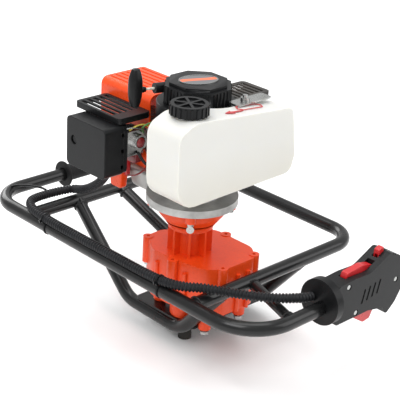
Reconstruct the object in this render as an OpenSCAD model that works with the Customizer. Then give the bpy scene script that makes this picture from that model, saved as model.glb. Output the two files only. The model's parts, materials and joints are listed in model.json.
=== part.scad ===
// Powerhead of a petrol ice auger: a vertical-shaft two-stroke engine on a tube frame, with a
// centrifugal clutch and a two-stage gearbox that drives the auger shaft.
// The origin is the centre of the auger shaft's free end, +Z runs up the shaft, +Y points at the
// rear hand grip and +X at the exhaust side.

/* [Frame] */
// Outside diameter of the frame tubes
tube_d = 22.2; // [20:0.1:24]
// Wall of the frame tubes
tube_wall = 2; // [1.5:0.5:3]
// Height of the handle ring
ring_z = 135; // [132:1:140]
// Across-the-frame place of the long handle tube
handle_x = -95; // [-100:1:-90]
// Place of the rear grip along the frame
grip_y = 405; // [380:1:430]
// Place of the cross tube along the frame
cross_y = 298; // [280:1:310]
// Across-the-frame place of the outer side tube
side_x = 289; // [270:1:300]
// Place of the front rail along the frame
rail_y = -105; // [-110:1:-103]
// Place of the throttle tube along the frame
throttle_y = -231; // [-245:1:-225]

/* [Gearbox] */
// Diameter of the auger shaft
shaft_d = 22.2; // [20:0.1:25]
// Length of the auger shaft below its runout groove
shaft_free = 40; // [38:1:42]
// Height of the base plate's underside
plate_z = 43.1; // [43.1:0.1:44]
// Height of the gearbox joint line
joint_z = 143; // [142:1:145]
// Teeth of the input pinion and of the layshaft pinion
pinion_teeth = 10; // [10:1:10]
// Teeth of the layshaft gear
lay_teeth = 50; // [50:1:50]
// Teeth of the output gear
output_teeth = 35; // [35:1:35]

/* [Engine] */
// Height of the underside of the engine's mounting flange
flange_z = 246; // [246:1:248]
// Height of the cylinder's axis, which is also the crankcase joint
crank_z = 318; // [316:1:320]
// Cylinder bore
bore_d = 40; // [38:1:42]
// Piston stroke
stroke = 30; // [28:1:32]
// Height of the recoil cover's top
cover_z = 441; // [438:1:444]
// Diameter of the fuel cap
cap_d = 58; // [50:1:60]

/* [Hidden] */
$fn = 64;
eps = 0.5;              // how far a cut runs past a face
fit = 0.02;             // radial clearance of a shaft in its bearing
gap = 0.3;              // clearance between bodies that move past each other

tube_r = tube_d / 2;
tube_bore = tube_r - tube_wall;
grip_bend = 62;
throttle_bend = 78;
loop_bend = 50;
plate_t = 4;
plate_top = plate_z + plate_t;
cradle_z = plate_z - tube_r;
cradle_mid = 62;        // the two cradle tubes mirror each other about this X
grip_x = [62, 196];
grip_r = 15.5;
throttle_x = [56, 236];

shaft_r = shaft_d / 2;
journal_r = shaft_r - 0.1;
module_1 = 1.5;         // tooth module of the first stage
module_2 = 2;           // tooth module of the second stage
lay_dist = module_1 * (pinion_teeth + lay_teeth) / 2;
lay_angle = -57.7;
lay_at = lay_dist * [cos(lay_angle), sin(lay_angle)];
body_floor = 78;
body_top = 160;
neck_top = 209;
body_wall = 5;
lay_r = 6;
input_r = 6.5;
crank_r = 7.5;
bolt_r = 3;

crank_split = crank_z;
case_r = 44;
chamber_r = 33;
fan_z = [362, 408];
fan_r = 62;
rope_z = 426;
rope_r = 2;
pulley_r = 27;          // radius at which the starter rope lies
pull_angle = 164;
pull_dir = [cos(pull_angle), sin(pull_angle), 0];
pull_at = [cos(pull_angle - 90), sin(pull_angle - 90), 0] * pulley_r;
handle_reach = 82;      // from the rope's tangent point to the starter handle

// Route of the ribbed cable conduit, from under the carburettor to the throttle handle.
conduit_route = [
    [-62, 116, 288], [-54, 136, 264], [-38, 176, 226], [-14, 230, 190], [4, 276, 165],
    [6, 302, 156], [-12, 311, 154.5], [-40, 314, 154.5], [-64, 313, 155], [-82, 306, 156],
    [-95, 290, 156], [-101, 264, 154.5], [-103, 220, 153.5], [-103, 150, 153.5],
    [-102, 60, 153.5], [-101, -10, 153.5], [-97, -54, 154.5], [-87, -82, 156],
    [-71, -104, 157.5], [-50, -132, 156], [-24, -164, 154], [4, -190, 152], [28, -204, 150],
    [44, -210, 148], [54.4, -212, 147.5]
];
conduit_d = 15;
// Route of the thin switch lead, from the rear bend of the handle tube to the conduit.
lead_route = [
    [-84, 398, 146], [-78, 388, 150], [-70, 372, 153], [-60, 355, 155], [-52, 342, 157],
    [-48, 332, 158]
];
lead_d = 4;

function unit(v) = v / norm(v);
// Points of the arc of radius r that rounds the corner b between a and c, in n steps.
function corner(a, b, c, r, n) =
    let (u = unit(a - b), v = unit(c - b), half = acos(u * v) / 2,
         centre = b + unit(u + v) * r / sin(half),
         s = b + u * r / tan(half) - centre, e = b + v * r / tan(half) - centre,
         turn = 180 - 2 * half)
    [for (k = [0 : n]) centre + (s * sin((1 - k / n) * turn) + e * sin(k / n * turn)) / sin(turn)];
// A closed outline with every corner rounded; r is one radius or one for each corner.
function rounded(p, r, n = 5) =
    [for (i = [0 : len(p) - 1])
        each corner(p[(i + len(p) - 1) % len(p)], p[i], p[(i + 1) % len(p)],
                    is_list(r) ? r[i] : r, n)];
function box_outline(lo, hi) = [[lo[0], lo[1]], [hi[0], lo[1]], [hi[0], hi[1]], [lo[0], hi[1]]];
// Outline of a spur gear with involute flanks, a 25 degree pressure angle and stub teeth.
function involute(base, r) = let (t = sqrt(max(0, (r / base) ^ 2 - 1)) * 180 / PI) t - atan(t * PI / 180);
function gear_outline(teeth, m, slack = 0.16) =
    let (pitch = m * teeth / 2, base = pitch * cos(25), root = pitch - m, tip = pitch + 0.8 * m,
         half = 90 / teeth - slack / pitch * 180 / PI + involute(base, pitch),
         from = max(base, root), radii = [for (k = [0 : 3]) from + (tip - from) * k / 3])
    [for (i = [0 : teeth - 1]) each let (mid = 360 * i / teeth) concat(
        [root * [cos(mid - half), sin(mid - half)]],
        [for (r = radii) let (a = mid - half + involute(base, r)) r * [cos(a), sin(a)]],
        [for (k = [3 : -1 : 0]) let (r = radii[k], a = mid + half - involute(base, r))
            r * [cos(a), sin(a)]],
        [root * [cos(mid + half), sin(mid + half)]])];
// A point on a smooth curve through the route's points, t from 0 to 1 between p[i] and p[i + 1].
function blend_point(p, i, t) =
    let (n = len(p) - 1, a = p[max(i - 1, 0)], b = p[i], c = p[i + 1], d = p[min(i + 2, n)])
    0.5 * (2 * b + (c - a) * t + (2 * a - 5 * b + 4 * c - d) * t ^ 2
           + (3 * b - a - 3 * c + d) * t ^ 3);
function smooth_route(p, steps) = concat(
    [for (i = [0 : len(p) - 2], k = [0 : steps - 1]) blend_point(p, i, k / steps)],
    [p[len(p) - 1]]);

module rod(a, b, r) {
    d = unit(b - a);
    translate(a) rotate([0, acos(d[2]), atan2(d[1], d[0])]) cylinder(h = norm(b - a), r = r);
}
module pipe(a, b, r, bore) {
    d = unit(b - a);
    translate(a) rotate([0, acos(d[2]), atan2(d[1], d[0])]) difference() {
        cylinder(h = norm(b - a), r = r);
        translate([0, 0, -eps]) cylinder(h = norm(b - a) + 2 * eps, r = bore);
    }
}
module elbow(a, b, c, bend, r, bore) {
    u = unit(a - b);
    v = unit(c - b);
    half = acos(u * v) / 2;
    centre = b + unit(u + v) * bend / sin(half);
    x = unit(b + u * bend / tan(half) - centre);
    y = -u;
    z = cross(x, y);
    multmatrix([[x[0], y[0], z[0], centre[0]], [x[1], y[1], z[1], centre[1]],
                [x[2], y[2], z[2], centre[2]], [0, 0, 0, 1]])
        rotate_extrude(angle = 180 - 2 * half) translate([bend, 0]) difference() {
            circle(r);
            circle(bore);
        }
}
// A bent tube through the corner points p; bends lists one bend radius for each inner corner.
// A seam above 0 leaves the straights that much short of the bends, as separate solids.
module bent_tube(p, bends, seam = 0) {
    n = len(p) - 1;
    trim = [for (i = [0 : n]) i == 0 || i == n ? 0 :
        bends[i - 1] / tan(acos(unit(p[i - 1] - p[i]) * unit(p[i + 1] - p[i])) / 2)];
    for (i = [0 : n - 1]) {
        d = unit(p[i + 1] - p[i]);
        pipe(p[i] + d * (trim[i] + seam), p[i + 1] - d * (trim[i + 1] + seam), tube_r, tube_bore);
    }
    for (i = [1 : n - 1]) elbow(p[i - 1], p[i], p[i + 1], bends[i - 1], tube_r, tube_bore);
}
// A cord swept along points p as one closed surface.
module swept_cord(p, r, sides) {
    n = len(p);
    dirs = [for (i = [0 : n - 1]) unit(p[min(i + 1, n - 1)] - p[max(i - 1, 0)])];
    rings = [for (i = [0 : n - 1])
        let (x = unit(cross(dirs[i], abs(dirs[i][2]) > 0.9 ? [1, 0, 0] : [0, 0, 1])),
             y = cross(dirs[i], x))
        each [for (k = [0 : sides - 1]) p[i] + r * (cos(360 * k / sides) * x
                                                    + sin(360 * k / sides) * y)]];
    walls = [for (i = [0 : n - 2], k = [0 : sides - 1]) let (j = (k + 1) % sides)
        [i * sides + k, (i + 1) * sides + k, (i + 1) * sides + j, i * sides + j]];
    ends = [[for (k = [0 : sides - 1]) k], [for (k = [sides - 1 : -1 : 0]) (n - 1) * sides + k]];
    polyhedron(rings, concat(walls, ends), convexity = 10);
}
module slab(outline, z0, z1) translate([0, 0, z0]) linear_extrude(z1 - z0) polygon(outline);
module ring(z0, z1, r, bore) translate([0, 0, z0]) difference() {
    cylinder(h = z1 - z0, r = r);
    translate([0, 0, -eps]) cylinder(h = z1 - z0 + 2 * eps, r = bore);
}
module post(at, z0, z1, r) translate([at[0], at[1], z0]) cylinder(h = z1 - z0, r = r);
module block(lo, hi) translate(lo) cube(hi - lo);
// An outline in the X-Z plane, extruded along Y from y0 to y1.
module side_slab(outline, y0, y1) translate([0, y1, 0]) rotate([90, 0, 0])
    linear_extrude(y1 - y0) polygon(outline);

// Frame
handle_path = [[grip_x[1] - 6, grip_y, ring_z], [handle_x, grip_y, ring_z],
               [handle_x, throttle_y, ring_z], [throttle_x[0] + 110, throttle_y, ring_z]];
loop_path = [[handle_x, cross_y, ring_z], [side_x, cross_y, ring_z],
             [side_x, rail_y, ring_z], [handle_x, rail_y, ring_z]];
function cradle_path(side) = [for (q = [[-49.5, cross_y - 3, ring_z - 2], [-87, 112, cradle_z],
                                        [-89, -18, cradle_z], [-89, rail_y + 2, ring_z - 3]])
    [cradle_mid - side * q[0], q[1], q[2]]];

module handle_tube() color("#1c1d1f") bent_tube(handle_path, [grip_bend, throttle_bend]);
module side_loop_tube() color("#1c1d1f") difference() {
    bent_tube(loop_path, [loop_bend, loop_bend]);
    rod([handle_x, cross_y + 40, ring_z], [handle_x, rail_y - 40, ring_z], tube_r);
}
module cradle_tube(side) color("#1c1d1f") bent_tube(cradle_path(side), [70, 50], 0.02);
module cradle_tube_left() cradle_tube(-1);
module cradle_tube_right() cradle_tube(1);
brace_ends = [[34, rail_y, ring_z], [-8, throttle_y, ring_z]];
module brace_tube() color("#1c1d1f") difference() {
    pipe(brace_ends[0], brace_ends[1], 8, 6);
    rod([handle_x, rail_y, ring_z], [150, rail_y, ring_z], tube_r);
    rod([-60, throttle_y, ring_z], [100, throttle_y, ring_z], tube_r);
    elbow(handle_path[1], handle_path[2], handle_path[3], throttle_bend, tube_r, 0);
}
foot_at = [[-4, 58], [-14, -58], [64, -56], [64, 34]];
foot_r = 10;
module base_plate() color("#1c1d1f") difference() {
    slab(rounded(box_outline([-30, -46], [154, 90]), 8), plate_z, plate_top);
    post([0, 0], plate_z - eps, plate_top + eps, 26);
    for (p = foot_at) post(p, plate_z - eps, plate_top + eps, 4.2);
}
module hand_grip() color("#26282b") difference() {
    union() {
        rod([grip_x[0], grip_y, ring_z], [grip_x[0] + 5, grip_y, ring_z], 24);
        rod([grip_x[0] + 5, grip_y, ring_z], [grip_x[1], grip_y, ring_z], grip_r);
    }
    rod([grip_x[0] - eps, grip_y, ring_z], [grip_x[1] - 6, grip_y, ring_z], tube_r);
}

// Throttle handle: two shells that split on the plane through the tube
shell_y = 18;
shell_outline = [[70, 106], [64, 150], [72, 172], [110, 174], [146, 172], [172, 184],
                 [192, 194], [222, 179], [236, 152], [233, 122], [218, 99], [197, 82],
                 [188, 98], [150, 106]];
shell_radii = [8, 14, 12, 30, 30, 24, 12, 16, 18, 16, 14, 6, 8, 20];
hood_at = [-5, 8];      // the rear hood's centre from the tube's axis, in -Y and Z
hood_r = 37;
trigger_pivot = [186, 109];
lock_pivot = [160, 169];
shell_bosses = [[96, 164], [120, 112], [214, 140]];
module throttle_half(side) {
    y0 = side < 0 ? -shell_y : 0;
    translate([0, throttle_y, 0]) difference() {
        union() {
            side_slab(rounded(shell_outline, shell_radii), y0, y0 + shell_y);
            intersection() {
                translate([throttle_x[0], hood_at[0] * -1, ring_z + hood_at[1]])
                    rotate([0, 90, 0]) cylinder(h = 14, r = hood_r);
                block([0, side < 0 ? -60 : 0, 60], [100, side < 0 ? 0 : 60, 220]);
            }
        }
        // hollow for the levers, open below for the trigger and above for the lock
        difference() {
            side_slab(rounded([[84, 92], [84, 168], [176, 168], [192, 100], [184, 70], [120, 70]],
                              4), -7, 7);
            rod([50, 0, ring_z], [166, 0, ring_z], tube_r + 3);
        }
        side_slab(rounded(box_outline([98, 150], [168, 190]), 3), -7, 7);
        rod([40, 0, ring_z], [167, 0, ring_z], tube_r);
        side_slab(rounded(box_outline([174, 176], [196, 210]), 3), -5.5, 5.5);
        for (b = shell_bosses) translate([b[0], -60, b[1]]) rotate([-90, 0, 0])
            cylinder(h = 120, r = 2.2);
        for (b = shell_bosses) translate([b[0], -shell_y - eps, b[1]]) rotate([-90, 0, 0])
            cylinder(h = 5 + eps, r = 5);
        for (k = [0 : 3], s = [-1, 1]) translate([134 + 12 * k, s * shell_y, 136 + 2 * k])
            rotate([0, 14, 0]) cube([4, 2.4, 24], center = true);
        for (k = [0 : 3]) translate([199 + 6 * k, 0, 191 - 2.6 * k]) rotate([0, 24, 0])
            cube([2.4, 60, 5], center = true);
    }
}
module throttle_shell_left() color("#222426") throttle_half(-1);
module throttle_shell_right() color("#222426") throttle_half(1);
module throttle_trigger() color("#c2222a") translate([0, throttle_y, 0]) difference() {
    side_slab(rounded([[128, 112], [128, 96], [156, 78], [172, 80], [180, 96], [188.6, 110],
                       [180, 116]], [4, 6, 8, 5, 12, 3, 3]), -6, 6);
    rod([50, 0, ring_z], [167, 0, ring_z], tube_r + 3 + gap);
    translate([trigger_pivot[0], 0, trigger_pivot[1]]) rotate([90, 0, 0])
        cylinder(h = 20, r = 2 + fit, center = true);
}
module trigger_lock() color("#c2222a") translate([0, throttle_y, 0]) difference() {
    side_slab(rounded([[101, 170], [104, 180], [140, 183], [164, 177], [166, 166], [154, 164]],
                      [2, 5, 12, 5, 3, 5]), -6, 6);
    translate([lock_pivot[0], 0, lock_pivot[1]]) rotate([90, 0, 0])
        cylinder(h = 20, r = 2 + fit, center = true);
}
module kill_switch() color("#c2222a") translate([0, throttle_y, 0]) difference() {
    side_slab(rounded([[178, 180], [178, 196], [190, 200], [190, 180]], 2), -5, 5);
    block([170, -2.5, 170], [200, 2.5, 188]);
}
module throttle_screws() color("#c9ccce") translate([0, throttle_y, 0]) {
    for (b = shell_bosses) translate([b[0], -shell_y + 1, b[1]]) rotate([-90, 0, 0]) {
        cylinder(h = 4, r = 3.8);
        cylinder(h = 2 * shell_y - 6, r = 2.2);
    }
    for (p = [trigger_pivot, lock_pivot]) translate([p[0], 0, p[1]]) rotate([90, 0, 0])
        cylinder(h = 14, r = 2, center = true);
}
module cable_conduit() color("#2b2d30") swept_cord(smooth_route(conduit_route, 3), conduit_d / 2, 12);
module kill_lead() color("#3a3d40") swept_cord(smooth_route(lead_route, 2), lead_d / 2, 8);
// A tie strap round a tube and the conduit beside it, seen along the tube as a slot shape.
module tie(at, turn, span) translate(at) rotate(turn) difference() {
    union() {
        for (s = [0, span]) translate([s, 0, 0]) cylinder(h = 3, r = s == 0 ? 12.6 : 9.6);
        translate([span, 8, 0]) cube([6, 5, 3]);
    }
    for (s = [0, span]) translate([s, 0, -eps]) cylinder(h = 4, r = s == 0 ? 11.4 : 8.4);
}
module zip_ties() color("#191a1b") {
    tie([handle_x, 240, ring_z], [90, 247, 0], 20.2);
    tie([handle_x, -40, ring_z], [90, 256, 0], 19.4);
}

// Gearbox
body_outline = rounded([[-20, 78], [12, 80], [84, 26], [84, -58], [60, -86], [-8, -86],
                        [-32, -66], [-45, 0], [-45, 38]], [10, 22, 26, 28, 14, 14, 20, 60, 30]);
body_inner = rounded([[-16, 70], [10, 72], [79, 22], [79, -56], [57, -81], [4, -81],
                      [-10, -62], [-27, -36], [-40, 0], [-40, 36]],
                     [10, 18, 22, 24, 12, 12, 12, 12, 40, 26]);
boss_at = [[-21, 74], [-47, -12], [-6, -82], [68, -77], [84, 2], [48, 58]];
boss_r = 8.5;
boss_z = 116;
module gearbox_lower() color("#e2501f") difference() {
    union() {
        slab(body_outline, body_floor, joint_z);
        for (b = boss_at) post(b, boss_z, joint_z, boss_r);
        for (p = foot_at) post(p, plate_top, body_floor, foot_r);
        post([0, 0], plate_top, body_floor + 6, 26.5);
        post(lay_at, 66, body_floor + 6, 18);
        for (p = [[-46, 24], [-41, -34], [24, -88], [46, -88]])
            post(p, body_floor, joint_z, 3.4);
    }
    difference() {
        slab(body_inner, body_floor + 6, joint_z + eps);
        for (b = boss_at) post(b, body_floor, joint_z + 1, boss_r);
    }
    post([0, 0], plate_top - eps, body_floor + 7, 23.5);
    post(lay_at, 74, body_floor + 7, 15);
    for (b = boss_at) post(b, boss_z - eps, joint_z + eps, bolt_r);
    for (b = boss_at) post(b, boss_z - 9, boss_z, 6);
    rod(cradle_path(-1)[2], cradle_path(-1)[3], tube_r + 1);
    for (p = foot_at) post(p, plate_top - eps, plate_top + 18, 4.2);
}
module gearbox_upper() color("#e2501f") difference() {
    union() {
        slab(body_outline, joint_z, body_top);
        for (b = boss_at) post(b, joint_z, body_top + 1, boss_r);
        post([0, 0], body_top, neck_top, 23);
        for (a = [0 : 45 : 315]) rotate(a)
            translate([20, -2, body_top]) cube([15, 4, neck_top - body_top]);
        ring(neck_top - 6, neck_top, 36, 20);
    }
    difference() {
        slab(body_inner, joint_z - eps, body_top - 5);
        for (b = boss_at) post(b, joint_z - 1, body_top, boss_r);
        post([0, 0], joint_z + 4, body_top, 23);
        post(lay_at, joint_z + 1, body_top, 19);
    }
    post([0, 0], joint_z, neck_top + 1, 17.5);
    post(lay_at, joint_z, joint_z + 12, 15);
    for (b = boss_at) post(b, joint_z - eps, body_top + 2, bolt_r);
}
module gearbox_bolts() color("#b9bdc0") {
    for (b = boss_at) {
        post(b, boss_z - 5, body_top - 2, bolt_r);
        post(b, boss_z - 5, boss_z, 5);
    }
    for (p = foot_at) {
        post(p, plate_z - 5, plate_top + 17, 4.2);
        post(p, plate_z - 5, plate_z, 7);
    }
}
module bearing(z0, z1, r, bore) {
    ring(z0, z1, r, r - 3);
    ring(z0 + 1, z1 - 1, r - 3, bore + 2.5);
    ring(z0, z1, bore + 2.5, bore);
}
module gearbox_bearings() color("#c3c7ca") {
    bearing(52, 63, 23.5, journal_r + fit);
    bearing(71, 82, 23.5, journal_r + fit);
    translate([lay_at[0], lay_at[1], 0]) {
        bearing(74, 84, 15, lay_r + fit);
        bearing(joint_z + 2, joint_z + 12, 15, lay_r + fit);
    }
    bearing(152, 163, 17.5, input_r + fit);
    bearing(194, 205, 17.5, input_r + fit);
}
module shaft_seal() color("#3a2a22") ring(plate_top, 51.5, 23.5, journal_r + fit);
module output_shaft() color("#1e1f20") difference() {
    union() {
        post([0, 0], 0, shaft_free, shaft_r);
        post([0, 0], 1, shaft_free + 2, shaft_r - 0.8);
        post([0, 0], shaft_free + 1.5, 114, journal_r);
    }
    translate([0, 0, 11]) rotate([90, 0, 45]) cylinder(h = 60, r = 4.1, center = true);
}
module output_gear() color("#8d9194") difference() {
    rotate(lay_angle) slab(gear_outline(output_teeth, module_2), 92, 112);
    post([0, 0], 91, 113, journal_r);
}
module layshaft() color("#9a9ea1") translate([lay_at[0], lay_at[1], 0]) {
    post([0, 0], 74, joint_z + 12, lay_r);
    rotate(lay_angle + 180 + 180 / pinion_teeth)
        slab(gear_outline(pinion_teeth, module_2), 90, 114);
}
module lay_gear() color("#8d9194") translate([lay_at[0], lay_at[1], 0]) difference() {
    rotate(lay_angle + 180 + 180 / lay_teeth) slab(gear_outline(lay_teeth, module_1), 122, 136);
    post([0, 0], 121, 137, lay_r);
}
module input_shaft() color("#9a9ea1") {
    rotate(lay_angle) slab(gear_outline(pinion_teeth, module_1), 119, 139);
    post([0, 0], 139, 220, input_r);
}
module clutch_drum() color("#7d8184") difference() {
    post([0, 0], 217, 240, 40);
    post([0, 0], 221, 241, 37);
    post([0, 0], 216, 220, input_r);
}

// Clutch housing, a bell under the engine's mounting flange
ear_at = [for (a = [45 : 90 : 315]) 61 * [cos(a), sin(a)]];
module clutch_housing() color("#e2501f") difference() {
    union() {
        post([0, 0], 228, flange_z, 52.5);
        translate([0, 0, neck_top]) cylinder(h = 19, r1 = 38, r2 = 52.5);
        for (p = ear_at) post(p, 234, flange_z, 8);
        for (a = [45 : 90 : 315]) rotate(a) block([46, -5, 235], [61, 5, flange_z]);
    }
    post([0, 0], neck_top - eps, 214, 19);
    post([0, 0], 213, flange_z + eps, 44);
    for (p = ear_at) post(p, 233, flange_z + eps, bolt_r);
    rotate(225) translate([30, 0, 219]) rotate([0, 90, 0]) cylinder(h = 40, r = 3);
}
module housing_bolts() color("#b9bdc0") {
    slab(rounded(box_outline([12, -74], [84, -51.5]), 4), 417, 419.5);
    post([38, -62], 419.5, 428, 4);
    post([38, -62], 419.5, 424, 7);
    for (p = ear_at) {
        post(p, 229, flange_z + 8, bolt_r);
        post(p, 229, 234, 5);
    }
    rotate(225) translate([47.4, 0, 219]) rotate([0, 90, 0]) {
        cylinder(h = 6, r = 3);
        translate([0, 0, 3.4]) cylinder(h = 4, r = 6);
    }
}

// Engine
module clutch_hub() color("#8d9194") difference() {
    union() {
        post([0, 0], 224, 238, 13);
        intersection() {
            post([0, 0], 226, 236, 33);
            block([-33, -6, 226], [33, 6, 236]);
        }
    }
    post([0, 0], 223, 239, crank_r);
}
module clutch_shoe(side) color("#5c5f62") intersection() {
    difference() {
        post([0, 0], 225, 237, 35.5);
        post([0, 0], 224, 238, 14);
        block([-40, -7, 220], [40, 7, 240]);
    }
    block([-40, side > 0 ? 0 : -40, 220], [40, side > 0 ? 40 : 0, 240]);
}
module clutch_shoe_left() clutch_shoe(-1);
module clutch_shoe_right() clutch_shoe(1);
module barrel_flat(z0, z1) block([-31, 0, z0], [31, 47, z1]);
module crankcase_lower() color("#c9cbc8") difference() {
    union() {
        post([0, 0], flange_z, flange_z + 12, 72);
        post([0, 0], flange_z + 12, crank_split, case_r);
        barrel_flat(crank_split - 30, crank_split);
    }
    post([0, 0], flange_z - eps, flange_z + 10, 44);
    post([0, 0], flange_z, crank_split, crank_r + 1);
    post([0, 0], 274, 288, 16);
    post([0, 0], 288, crank_split + eps, chamber_r);
    translate([0, 20, crank_z]) rotate([-90, 0, 0]) cylinder(h = 30, r = 23);
    for (p = ear_at) post(p, flange_z - eps, flange_z + 9, bolt_r);
}
module crankcase_upper() color("#c9cbc8") difference() {
    union() {
        post([0, 0], crank_split, fan_z[0], case_r);
        barrel_flat(crank_split, crank_split + 30);
    }
    post([0, 0], crank_split - eps, 348, chamber_r);
    post([0, 0], 340, 358, 16);
    post([0, 0], 340, fan_z[0] + eps, crank_r + 1);
    translate([0, 20, crank_z]) rotate([-90, 0, 0]) cylinder(h = 30, r = 23);
}
module crankshaft() color("#a3a7aa") {
    post([0, 0], 224, 296, crank_r);
    post([0, 0], 340, 402, crank_r);
    difference() {
        post([0, 0], 296, 310, 29);
        block([-40, -40, 295], [40, -20, 311]);
    }
    difference() {
        post([0, 0], 326, 340, 29);
        block([-40, -40, 325], [40, -20, 341]);
    }
    post([0, -stroke / 2], 310, 326, 6);
}
module crank_bearings() color("#c3c7ca") {
    bearing(276, 287, 16, crank_r + fit);
    bearing(348.5, 357.5, 16, crank_r + fit);
}
port_y = 74;
module barrel() color("#b5b8b8") difference() {
    union() {
        block([-31, 47, crank_z - 30], [31, 53, crank_z + 30]);
        translate([0, 47, crank_z]) rotate([-90, 0, 0]) cylinder(h = 93, r = 26);
        for (k = [0 : 6])
            block([-32, 60 + 12 * k, crank_z - 34], [36, 64 + 12 * k, crank_z + 36]);
        rod([-50, port_y, 332], [-20, port_y, 332], 13);
        rod([20, port_y, crank_z], [58, port_y, crank_z], 14);
    }
    translate([0, 46, crank_z]) rotate([-90, 0, 0]) cylinder(h = 86, r = bore_d / 2 + 0.05);
    rod([-51, port_y, 332], [0, port_y, 332], 8);
    rod([0, port_y, crank_z], [59, port_y, crank_z], 9);
    translate([0, 130, crank_z]) rotate([-90, 0, 0]) cylinder(h = 20, r = 6);
}
module piston() color("#aeb2b5") difference() {
    translate([0, 66, crank_z]) rotate([-90, 0, 0]) cylinder(h = 30, r = bore_d / 2);
    translate([0, 65, crank_z]) rotate([-90, 0, 0]) cylinder(h = 26, r = bore_d / 2 - 3);
}
module spark_plug() color("#2a2a2a") translate([0, 130.2, crank_z]) rotate([-90, 0, 0]) {
    cylinder(h = 9.8, r = 6);
    translate([0, 0, 9.8]) cylinder(h = 8, r = 9, $fn = 6);
    translate([0, 0, 17.8]) cylinder(h = 14, r = 7.5);
}
module flywheel() color("#9da1a3") difference() {
    union() {
        post([0, 0], 366, 376, 44);
        post([0, 0], 376, 396, 17);
        for (a = [0 : 30 : 330]) rotate(a) block([16, -1.2, 376], [43, 1.2, 392]);
    }
    post([0, 0], 365, 397, crank_r);
}
module ignition_coil() color("#2c2f33") block([-14, 46, fan_z[0] + 2], [14, 57, fan_z[0] + 20]);
module fan_housing() color("#1f2123") difference() {
    post([0, 0], fan_z[0], fan_z[1], fan_r);
    post([0, 0], fan_z[0] + 2, fan_z[1] - 3, fan_r - 3);
    post([0, 0], fan_z[0] - eps, fan_z[0] + 3, 20);
    post([0, 0], fan_z[1] - 4, fan_z[1] + eps, 34);
}
function octagon(r) = [for (a = [22.5 : 45 : 360]) r * [cos(a), sin(a)] / cos(22.5)];
module recoil_cover() color("#1f2123") {
    post([0, 0], rope_z - 8, cover_z - 4, 8 - fit);
    recoil_shell();
}
module recoil_shell() difference() {
    union() {
        slab(octagon(49), fan_z[1], cover_z - 5);
        slab(octagon(43), cover_z - 5, cover_z);
        for (a = [0 : 45 : 315], k = [-2 : 2]) rotate(a)
            block([46, 7 * k - 1.2, fan_z[1]], [50.4, 7 * k + 1.2, cover_z - 7]);
        translate([pull_at[0], pull_at[1], rope_z]) rotate([0, 0, pull_angle])
            translate([34, 0, 0]) rotate([0, 90, 0]) cylinder(h = 26, r = 8);
    }
    post([0, 0], fan_z[1] - eps, cover_z - 4, 37);
    translate([pull_at[0], pull_at[1], rope_z]) rotate([0, 0, pull_angle])
        rotate([0, 90, 0]) cylinder(h = 70, r = rope_r + 1);
}
module recoil_pulley() color("#d8d8d0") {
    ring(rope_z - 6, rope_z - 2.5, 32, 8);
    ring(rope_z - 2.5, rope_z + 2.5, pulley_r - rope_r - 0.1, 8);
    ring(rope_z + 2.5, rope_z + 6, 32, 8);
}
module starter_rope() color("#d9d4c4")
    rod(pull_at + [0, 0, rope_z], pull_at + pull_dir * handle_reach + [0, 0, rope_z], rope_r);
module starter_handle() color("#1b1c1e")
    translate(pull_at + [0, 0, rope_z]) rotate([0, 0, pull_angle]) translate([handle_reach, 0, 0])
        difference() {
            union() {
                translate([9, 0, 4 - 29]) cylinder(h = 58, r = 9.5);
                translate([-7, 0, 0]) rotate([0, 90, 0]) cylinder(h = 14, r1 = 5, r2 = 7);
            }
            translate([-8, 0, 0]) rotate([0, 90, 0]) cylinder(h = 8, r = rope_r);
        }
cowl_lo = [-36, 66, 274];
cowl_hi = [62, 182, 404];
module cylinder_cowl() color("#e2501f") difference() {
    side_slab(rounded(box_outline([cowl_lo[0], cowl_lo[2]], [cowl_hi[0], cowl_hi[2]]), 12),
              cowl_lo[1], cowl_hi[1]);
    side_slab(rounded(box_outline([cowl_lo[0] + 2.5, cowl_lo[2] - 30],
                                  [cowl_hi[0] - 2.5, cowl_hi[2] - 2.5]), 10),
              cowl_lo[1] - eps, cowl_hi[1] - 2.5);
    block([-40, 56, 314], [-30, 92, 350]);
    block([50, 56, 296], [70, 92, 340]);
    for (k = [0 : 6]) block([-20 + 11 * k, 176, 300], [-14 + 11 * k, 190, 350]);
    for (k = [0 : 7]) block([-24 + 11 * k, 96, cowl_hi[2] - 1.2], [-20 + 11 * k, 176, 406]);
}
panel_lo = [-100, 62, 371];
panel_hi = [-36.3, 168, 381];
module louvre_panel() color("#2a2c2f") difference() {
    slab(rounded(box_outline([panel_lo[0], panel_lo[1]], [panel_hi[0], panel_hi[1]]), 7),
         panel_lo[2], panel_hi[2]);
    slab(rounded(box_outline([panel_lo[0] + 3, panel_lo[1] + 3], [panel_hi[0] - 3, panel_hi[1] - 3]),
                 4), panel_lo[2] - eps, panel_hi[2] - 3.5);
    for (k = [0 : 4]) block([-94 + 11.4 * k, 84, 370], [-88 + 11.4 * k, 160, 385]);
}
module muffler() color("#3a3b3c") {
    slab(rounded(box_outline([72, -4], [142, 42]), 8), 310, 388);
    block([58.3, 58, 300], [66, 90, 336]);
    block([66, 30, 304], [84, 90, 334]);
}
module muffler_guard() color("#26282a") difference() {
    slab(rounded(box_outline([66, -12], [150, 50]), 8), 306, 398);
    slab(rounded(box_outline([60, -9.5], [147.5, 56]), 6), 300, 395.5);
    for (k = [0 : 6]) block([76 + 10 * k, -4, 390], [81 + 10 * k, 42, 402]);
    for (k = [0 : 6]) block([144, -2 + 7 * k, 320], [156, 1.5 + 7 * k, 386]);
}
carb_lo = [-84, 62, 316];
carb_hi = [-50, 92, 356];
primer_at = [-62, 338];
throttle_pin = [-60, 80];
choke_pin = [-76, 70];
module carburettor() color("#c5c9cb") {
    carb_body();
    post(throttle_pin, carb_hi[2], 360, 2);
    post(choke_pin, carb_hi[2], 366, 2);
}
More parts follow.
